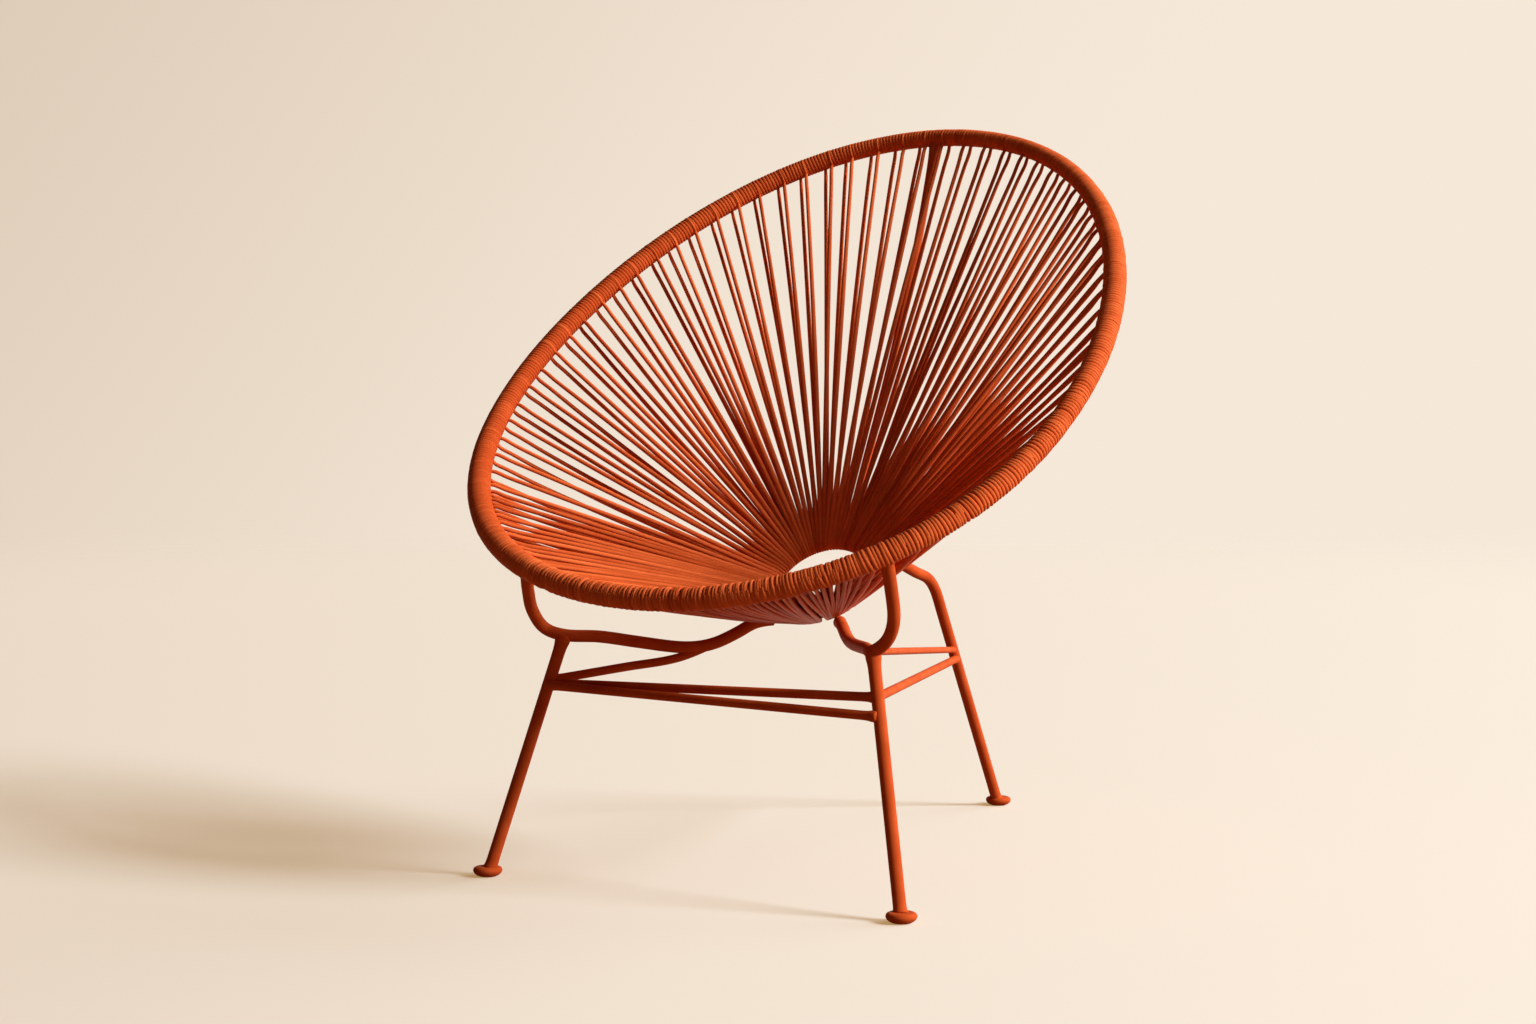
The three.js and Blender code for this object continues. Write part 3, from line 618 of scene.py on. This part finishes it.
def lace_cord(pile, pair, mirror, spread):
    """Adds one cord of the lacing: the strand, its loop and the strand back."""
    share = (pair + 0.5) / PAIR_COUNT
    angle = ring_angle(pair + 0.5) - ring_lag(pair, mirror)
    apart = LOOP_CORD_RADIUS / RING_RADIUS * reading(pair, LOOP_APART)
    spread = spread * rng.uniform(*SPREAD_PLAY)
    slip = rng.normal(0, SLIP)
    halves, hoops, loops = [], [], []
    for layer in (1, -1):
        loops.append(loop_frame(angle + layer * apart, share))
        hoops.append(hoop_frame(share + (slip + layer * spread / 2) / HOOP_LENGTH))
        halves.append(half_cord(pair, mirror, layer, hoops[-1], loops[-1]))
    top, low = halves
    path = catmull(np.concatenate([top, low[::-1][1:]]), CORD_SPAN_STEPS)
    path, radii = path[:, :3], path[:, 3]
    # square to the way from the lower loop to the hoop and to the upper strand's seat normal
    up = np.broadcast_to(np.cross(loops[1][2], hoops[0][2]), path.shape)
    if mirror:
        path, up = path * MIRROR, up * MIRROR
    pile.sweep(path, up, radii, radii, tone=rng.uniform(*TONE_RANGE))


first = 0
for section, pairs in enumerate(SECTION_PAIRS, 1):
    for side, mirror in (("left", False), ("right", True)):
        pile = Pile()
        for pair in range(first, first + pairs):
            places, spread = cords_of_pair(pair, mirror)
            for place in places:
                lace_cord(pile, pair + place, mirror, spread)
        pile.object(f"{side}_lacing_{section}", cord, "vinyl_cord", f"{side}_cord_{section}")
    first += pairs

# The base
# A flare swells a bar toward its end: by how much, from how far in, over what length
NO_FLARE = (0, 0, 1)
WELD_FLARE = (1.3, FRAME_RADIUS, 3.5)
BAR_SIDES, STRAIGHT_POINTS = 28, 8
# Directions that a bar's cross-section is turned from, the second where the
# first runs nearly along the bar
SECTION_AIMS, NEARLY_ALONG = ([0.31, 0.17, 0.93], [0.93, 0.31, 0.17]), 0.2


def flare(radii, path, flares):
    """Radii that swell toward the weld at the head and the tail of a path."""
    from_head = lengths_along(path)
    from_tail = from_head[-1] - from_head
    for place, (gain, start, reach) in zip((from_head, from_tail), flares):
        radii = radii + gain * np.exp(-np.maximum(place - start, 0) / reach)
    return radii


def bar(name, node, path, radius, ends=1.5, extra=None, flares=(NO_FLARE, NO_FLARE)):
    """A round rod along a path, with softly rounded ends; extra adds to its pile."""
    path = resample(np.asarray(path, float), PATH_SPACING)
    along = unit(np.gradient(path, axis=0))
    up = np.cross(along, SECTION_AIMS[0])
    if np.linalg.norm(up, axis=1).min() < NEARLY_ALONG:
        up = np.cross(along, SECTION_AIMS[1])
    radii = flare(np.full(len(path), radius), path, flares)
    head = [path[0], path[0] + along[0] * ends]
    tail = [path[-1] - along[-1] * ends, path[-1]]
    path = np.concatenate([head, path[1:-1], tail])
    radii = np.concatenate([[radii[0] - ends, radii[0]], radii[1:-1], [radii[-1], radii[-1] - ends]])
    up = np.concatenate([up[:1], up, up[-1:]])
    pile = Pile()
    pile.sweep(path, up, radii, radii, sides=BAR_SIDES)
    if extra:
        extra(pile)
    return pile.object(name, steel, "frame_paint", node)


def ring_weld(pairs, radius):
    """Where a rod ends under the ring: the ring's frame there and the rod's end."""
    centre, normal, to_hoop = loop_frame(ring_angle(pairs), pairs / PAIR_COUNT)
    depth = RING_TURN_RADIUS + CORD_RADIUS + WELD_CLEARANCE + radius
    return centre, normal, to_hoop, centre - normal * depth


# A weld lug of size 1: its width from the rod up to the ring, and the factors of
# that for its half widths across the ring's rod and along it
LUG_WIDTHS = np.array([2.4, 2.6, 2.8, 2.9, 3.1, 3.3, 3.5])
LUG_ACROSS, LUG_ALONG, LUG_SIDES = 2.0, 0.95, 16
# The lug ends inside the ring's rod, at this share of its radius
LUG_END_SHARE = 0.6


def lug(weld, size, side=1):
    """The weld block between a rod's end and the ring's rod."""
    centre, normal, to_hoop, seat = weld

    def make(pile):
        ring_end = centre - normal * RING_ROD_RADIUS * LUG_END_SHARE
        path = np.linspace(seat, ring_end, len(LUG_WIDTHS)) * [side, 1, 1]
        along_ring = np.cross(normal, to_hoop) * [side, 1, 1]
        width = LUG_WIDTHS * size
        pile.sweep(path, along_ring, width * LUG_ACROSS, width * LUG_ALONG, sides=LUG_SIDES)
    return make


# The supports: from the hoop down to the knee, inward with a dip and up to the ring
SUPPORT_PAIRS = SECTION_PAIRS[0]
support_weld = ring_weld(SUPPORT_PAIRS, FRAME_RADIUS)
LEFT_TOP_PAIRS, RIGHT_TOP_PAIRS, RIGHT_TOP_SHIFT = 8, 6, -5.0
LEFT_DIP, RIGHT_DIP = 5.0, 19.0
# How far down from the hoop to the knee, and how far out of the straight line
LEFT_BULGES = ((0.38, 12.4), (0.67, 20), (0.89, 15))
RIGHT_BULGES = ((0.38, 17), (0.67, 26), (0.92, 22))
LEFT_PASSES, RIGHT_PASSES = 24, 8
# Shares of the way from the knee to the ring, of the dip and of the climb
INNER_ROUTE = ((0.16, 0.15, 0), (0.34, 0.55, 0), (0.53, 0.95, 0), (0.62, 1, 0),
               (0.71, 0.85, 0.05), (0.82, 0.4, 0.3), (0.91, 0.05, 0.75))
SUPPORT_FLARES = NO_FLARE, (0.7, 0, 6)
SUPPORT_LUG_SIZE, SPINE_LUG_SIZE = 1.4, 0.6


def support_path(top_pairs, top_shift, bulges, dip, passes):
    """A support's centreline, as if it stood on the left."""
    seat = support_weld[3]
    top = hoop_place(top_pairs / PAIR_COUNT)[0] + [top_shift, 0, 0]
    points = [top]
    for down, bulge in bulges:
        points.append(top + (KNEE - top) * down + [bulge, 0, 0])
    points.append(KNEE)
    for along, low, climb in INNER_ROUTE:
        point = KNEE + (seat - KNEE) * along
        point[2] = KNEE[2] - dip * low + (seat[2] - KNEE[2]) * climb
        points.append(point)
    points.append(seat)
    return rounded(catmull(points), passes)


left_support = support_path(LEFT_TOP_PAIRS, 0, LEFT_BULGES, LEFT_DIP, LEFT_PASSES)
right_support = MIRROR * support_path(
    RIGHT_TOP_PAIRS, RIGHT_TOP_SHIFT, RIGHT_BULGES, RIGHT_DIP, RIGHT_PASSES)
bar("left_support_tube", "left_support", left_support, FRAME_RADIUS,
    extra=lug(support_weld, SUPPORT_LUG_SIZE), flares=SUPPORT_FLARES)
bar("right_support_tube", "right_support", right_support, FRAME_RADIUS,
    extra=lug(support_weld, SUPPORT_LUG_SIZE, side=-1), flares=SUPPORT_FLARES)

# The front legs
FOOT_TOP = 9.0
FRONT_LEG_FLARES = (1.2, 1, 3), (1.6, 8, 5)
for side, knee, foot in (("left", KNEE, FRONT_FOOT), ("right", KNEE * MIRROR, FRONT_FOOT * MIRROR)):
    start = foot + (knee - foot) * FOOT_TOP / knee[2]
    path = np.linspace(start, knee, STRAIGHT_POINTS)
    bar(f"{side}_leg_tube", f"{side}_leg", path, FRAME_RADIUS, ends=0.5, flares=FRONT_LEG_FLARES)

# The spine, with a slight bow behind the strands
SPINE_BOW = 15.0
SPINE_BOWS = ((0.2, 0.7), (0.4, 1), (0.6, 0.85), (0.8, 0.4))
SPINE_FLARES = (1.6, 14, 14), (-2.2, 0, 8)
spine_weld = ring_weld(PAIRS_PER_SIDE, SPINE_RADIUS)
spine_top, spine_seat = hoop_place(0.5)[0], spine_weld[3]
spine_points = [spine_top]
for along, bow in SPINE_BOWS:
    spine_points.append(spine_top + (spine_seat - spine_top) * along - spine_weld[1] * bow * SPINE_BOW)
spine_path = catmull(spine_points + [spine_seat])
bar("back_spine_bar", "back_spine", spine_path, SPINE_RADIUS, extra=lug(spine_weld, SPINE_LUG_SIZE),
    flares=SPINE_FLARES)

# The rear leg: its arm starts on the spine and runs to the shoulder, and the
# leg bends down to the foot. Each row is a share of the way and of the fall or height
ARM_SPINE_SHARE, SPINE_SPACING = 0.94, 1.0
ARM_ROUTE = ((0.35, 0.38), (0.7, 0.75))
BEND_ROUTE = ((0.51, 0.8), (0.825, 0.41))
LEG_SHARES = (0.15, 0.55, 1 - FOOT_TOP / BEND_END[2])
REAR_PASSES = 30
REAR_LEG_FLARES = NO_FLARE, (1.2, 1, 3)


def rear_leg_path():
    """The rear leg's centreline, from the spine to the foot."""
    fine = resample(spine_path, SPINE_SPACING)
    start = fine[int(round(ARM_SPINE_SHARE * (len(fine) - 1)))]
    points = [start]
    for along, fall in ARM_ROUTE:
        points.append(np.array([0, start[1] + (SHOULDER[1] - start[1]) * along,
                                start[2] + (SHOULDER[2] - start[2]) * fall]))
    points.append(SHOULDER)
    for along, height in BEND_ROUTE:
        points.append(np.array([0, SHOULDER[1] + (BEND_END[1] - SHOULDER[1]) * along,
                                BEND_END[2] + (SHOULDER[2] - BEND_END[2]) * height]))
    points.append(BEND_END)
    for along in LEG_SHARES:
        points.append(BEND_END + (REAR_FOOT - BEND_END) * along)
    return rounded(catmull(points), REAR_PASSES)


bar("rear_leg_tube", "rear_leg", rear_leg_path(), FRAME_RADIUS, ends=0.5, flares=REAR_LEG_FLARES)


# The stretchers, from leg to leg
def on_front_leg(height, side, back=0.0):
    place = FRONT_FOOT + (KNEE - FRONT_FOOT) * height / KNEE[2]
    return np.array([side * place[0], place[1] + back, height])


def on_rear_leg(height):
    return REAR_FOOT + (BEND_END - REAR_FOOT) * height / BEND_END[2]


# Heights of the ends on the right and left leg, and on the rear leg
FRONT_HEIGHTS, INNER_HEIGHTS = (214.6, 204.7), (216.0, 224.0)
SIDE_REAR_HEIGHT, UPPER_REAR_HEIGHT = 204.5, 217.0
# The front stretcher lies before the legs' middles, the inner one behind the right leg's
FRONT_BACK, INNER_BACK = -4.0, 7.5
front_ends = on_front_leg(FRONT_HEIGHTS[0], -1, FRONT_BACK), on_front_leg(FRONT_HEIGHTS[1], 1, FRONT_BACK)
inner_ends = on_front_leg(INNER_HEIGHTS[0], -1, INNER_BACK), on_front_leg(INNER_HEIGHTS[1], 1)
side_ends = inner_ends[1], on_rear_leg(SIDE_REAR_HEIGHT)
upper_ends = KNEE, on_rear_leg(UPPER_REAR_HEIGHT)
for name, node, ends, radius in (
    ("front_stretcher_bar", "front_stretcher", front_ends, STRETCHER_RADIUS),
    ("inner_stretcher_bar", "inner_stretcher", inner_ends, STRETCHER_RADIUS),
    ("side_stretcher_bar", "side_stretcher", side_ends, STRETCHER_RADIUS),
    ("upper_stretcher_bar", "upper_stretcher", upper_ends, UPPER_STRETCHER_RADIUS),
):
    bar(name, node, np.linspace(*ends, STRAIGHT_POINTS), radius, flares=(WELD_FLARE, WELD_FLARE))

# The brace runs up against the low part of the support and into it
BRACE_START_HEIGHT, BRACE_TOP_SHARE, BRACE_TOP_DROP = 220.0, 0.62, 9.0
BRACE_STRAIGHT_END, BRACE_REACH, BRACE_TIP_RISE = 22.0, 26.0, 0.5
BRACE_FLARES = WELD_FLARE, (-1.5, 0, 8)
brace_start = on_front_leg(BRACE_START_HEIGHT, -1)
brace_low = KNEE + (support_weld[3] - KNEE) * BRACE_TOP_SHARE
brace_top = np.array([-brace_low[0], brace_low[1], KNEE[2] - RIGHT_DIP - BRACE_TOP_DROP])
ahead = unit(brace_top - brace_start)
low_part = right_support[np.argmin(np.linalg.norm(right_support - brace_top, axis=1))]
brace = catmull([brace_start, brace_start + (brace_top - brace_start) / 2,
                 brace_top - ahead * BRACE_STRAIGHT_END,
                 low_part + ahead * BRACE_REACH + [0, 0, BRACE_TIP_RISE]])
bar("right_brace_bar", "right_brace", brace, STRETCHER_RADIUS, flares=BRACE_FLARES)

# The feet, as radius and height
FOOT_PROFILE = [(0, 0), (8.5, 0), (9.5, 0.15), (12.5, 1.4), (15.2, 3.6), (16.4, 6.0), (16.5, 7.0),
                (16.1, 8.6), (15.0, 10.0), (13.2, 10.9), (11.0, 11.2), (9.0, 11.0), (0, 10.6)]
for side, place in (("left", FRONT_FOOT), ("right", FRONT_FOOT * MIRROR), ("rear", REAR_FOOT)):
    pile = Pile()
    pile.lathe(FOOT_PROFILE, place)
    pile.object(f"{side}_foot_plate", steel, "frame_paint", f"{side}_foot")

# The seat ring
RING_STEPS, RING_SIDES = 120, 16
ring = Pile()
ring_path = ring_place(np.linspace(0, 2 * math.pi, RING_STEPS, endpoint=False))
ring.sweep(ring_path, [0, -math.sin(RING_TILT), math.cos(RING_TILT)],
           RING_ROD_RADIUS, RING_ROD_RADIUS, sides=RING_SIDES, closed=True)
ring.object("seat_ring_rod", steel, "frame_paint", "seat_ring")

# The solids' own materials; of the solids, the hoop is the one that stays in view
for name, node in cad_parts.items():
    node.data.materials.clear()
    node.data.materials.append(cord if "cord" in name else steel)

# Floor and background
FLOOR_FAR, FLOOR_NEAR, FLOOR_RADIUS, FLOOR_CORNERS = 9.0, 4.0, 14.0, 64
# Colours to the left and right as seen from the camera's place; the floor's and the wall's change from left
# to right is painted light falloff, paler toward the key light
WALL_LEFT, WALL_RIGHT = linear(218, 200, 179), linear(246, 232, 216)
FLOOR_LEFT, FLOOR_RIGHT = linear(231, 216, 199), linear(248, 236, 221)
# How far to each side that change goes on, as a slope, and the least distance ahead for it
FLOOR_SLANT, NEAREST_AHEAD = 0.3, 1.0
# What is left of the floor's brightness in a full shadow, by colour
SHADOW_SHARE = np.array([0.64, 0.54, 0.42])
# What the world adds to the floor's light
AMBIENT_SHARE = 0.09
# What the floor and the world throw on the chair
FLOOR_BOUNCE = (0.3, 0.16, 0.09, 1)
AMBIENT_LEFT, AMBIENT_RIGHT = (0.005, 0.002, 0.0007, 1), (0.3, 0.225, 0.175, 1)
# Where the world's light comes from, and the cosine to it where that light begins
AMBIENT_SLOPE, AMBIENT_START = [1.0, 0.4, 0.8], -0.1
# The wall turns paler to the right and downward, between two slopes: painted light falloff
WALL_FALL, WALL_SLOPES = 0.67, (-0.522, 0.118)
view_right = np.array([math.cos(CAMERA_AZIMUTH), math.sin(CAMERA_AZIMUTH), 0])
view_ahead = np.array([-math.sin(CAMERA_AZIMUTH), math.cos(CAMERA_AZIMUTH), 0])

# The key light, from the right and a little behind the chair
SUN_SLOPE = np.array([1.8, 0.3, 1.0])
SUN_POWER, SUN_SPREAD = 4.2, math.radians(19)
SUN_COLOUR = np.array([1.0, 0.95, 0.88])
# A broad light from the right and behind, low down
EDGE_SLOPE = np.array([0.6, 0.94, 0.35])
EDGE_POWER, EDGE_SPREAD = 2.0, math.radians(55)


def sun_light(name, slope, power, spread):
    data = bpy.data.lights.new(name, "SUN")
    data.energy, data.angle = power, spread
    data.color = SUN_COLOUR
    lamp = bpy.data.objects.new(name, data)
    lamp.rotation_mode = "QUATERNION"
    lamp.rotation_quaternion = Vector(slope).to_track_quat("Z", "Y")
    bpy.context.scene.collection.objects.link(lamp)


sun_light("key", SUN_SLOPE, SUN_POWER, SUN_SPREAD)
sun_light("edge", EDGE_SLOPE, EDGE_POWER, EDGE_SPREAD)


def floor_level(power, slope):
    """How brightly a sun lights the floor, by colour."""
    return SUN_COLOUR * power / math.pi * unit(slope)[2]


def dot_node(tree, vector, direction):
    return add(tree, "ShaderNodeVectorMath", {0: vector, 1: Vector(direction)},
               operation="DOT_PRODUCT").outputs["Value"]


def times(tree, colour, factors):
    """A colour socket times fixed factors."""
    return mix_colour(tree, 1, colour, (*factors, 1), "MULTIPLY")


def seen_rays(tree):
    """1 for rays that show the surface, 0 for those that light others by it."""
    path = add(tree, "ShaderNodeLightPath").outputs
    both = math_node(tree, "MAXIMUM", path["Is Camera Ray"], path["Is Glossy Ray"])
    return math_node(tree, "MAXIMUM", both, path["Is Transmission Ray"])


def floor_colour(tree, coords):
    """Paler to the right, by the direction from the camera's place: painted light falloff toward the key
    light.
    """
    place = add(tree, "ShaderNodeVectorMath", {0: coords, 1: CAMERA_PLACE},
                operation="SUBTRACT").outputs[0]
    ahead = math_node(tree, "MAXIMUM", dot_node(tree, place, view_ahead), NEAREST_AHEAD)
    slant = math_node(tree, "DIVIDE", dot_node(tree, place, view_right), ahead)
    to_right = remap(tree, slant, -FLOOR_SLANT, FLOOR_SLANT, 0, 1)
    return mix_colour(tree, to_right, FLOOR_LEFT, FLOOR_RIGHT)


def floor_light(tree, pale):
    """The key light's share of the floor casts the shadow, and a glow stands for the rest."""
    seen = seen_rays(tree)
    sunlit = (1 - SHADOW_SHARE) / floor_level(SUN_POWER, SUN_SLOPE)
    glow = SHADOW_SHARE - (AMBIENT_SHARE + floor_level(EDGE_POWER, EDGE_SLOPE)) * sunlit
    diffuse = add(tree, "ShaderNodeBsdfDiffuse", {
        "Color": mix_colour(tree, seen, FLOOR_BOUNCE, times(tree, pale, sunlit)),
    })
    emission = add(tree, "ShaderNodeEmission", {"Color": times(tree, pale, glow), "Strength": seen})
    return add(tree, "ShaderNodeAddShader", {0: diffuse.outputs[0], 1: emission.outputs[0]})


def floor_shader(tree):
    """A pale floor that fades into the background far out."""
    coords = add(tree, "ShaderNodeTexCoord").outputs["Object"]
    lit = floor_light(tree, floor_colour(tree, coords))
    reach = add(tree, "ShaderNodeVectorMath", {0: coords}, operation="LENGTH").outputs["Value"]
    fade = remap(tree, reach, FLOOR_NEAR, FLOOR_FAR, 0, 1, "SMOOTHSTEP")
    clear = add(tree, "ShaderNodeBsdfTransparent")
    both = add(tree, "ShaderNodeMixShader", {0: fade, 1: lit.outputs[0], 2: clear.outputs[0]})
    add(tree, "ShaderNodeOutputMaterial", {"Surface": both.outputs[0]})


floor_mesh = bpy.data.meshes.new("floor")
corner_angles = np.linspace(0, 2 * math.pi, FLOOR_CORNERS, endpoint=False)
corners = [(math.cos(a) * FLOOR_RADIUS, math.sin(a) * FLOOR_RADIUS, 0) for a in corner_angles]
floor_mesh.from_pydata(corners, [], [tuple(range(FLOOR_CORNERS))])
floor = bpy.data.objects.new("floor", floor_mesh)
bpy.context.scene.collection.objects.link(floor)
floor_material = bpy.data.materials.new("floor")
floor_shader(node_tree(floor_material))
floor_mesh.materials.append(floor_material)


def world_shader(tree):
    """The wall, with painted light falloff, for rays that show it, and a soft light from the right for the
    others.
    """
    direction = add(tree, "ShaderNodeTexCoord").outputs["Generated"]
    slope = dot_node(tree, direction, view_right - [0, 0, WALL_FALL])
    toward_pale = remap(tree, slope, *WALL_SLOPES, 0, 1, "SMOOTHSTEP")
    wall = mix_colour(tree, toward_pale, WALL_LEFT, WALL_RIGHT)
    aim = dot_node(tree, direction, unit(AMBIENT_SLOPE))
    toward_light = remap(tree, aim, AMBIENT_START, 1, 0, 1)
    ambient = mix_colour(tree, toward_light, AMBIENT_LEFT, AMBIENT_RIGHT)
    colour = mix_colour(tree, seen_rays(tree), ambient, wall)
    background = add(tree, "ShaderNodeBackground", {"Color": colour, "Strength": 1.0})
    add(tree, "ShaderNodeOutputWorld", {"Surface": background.outputs[0]})


world = bpy.data.worlds.new("studio")
bpy.context.scene.world = world
world_shader(node_tree(world))

bpy.context.scene.view_settings.view_transform = "Standard"
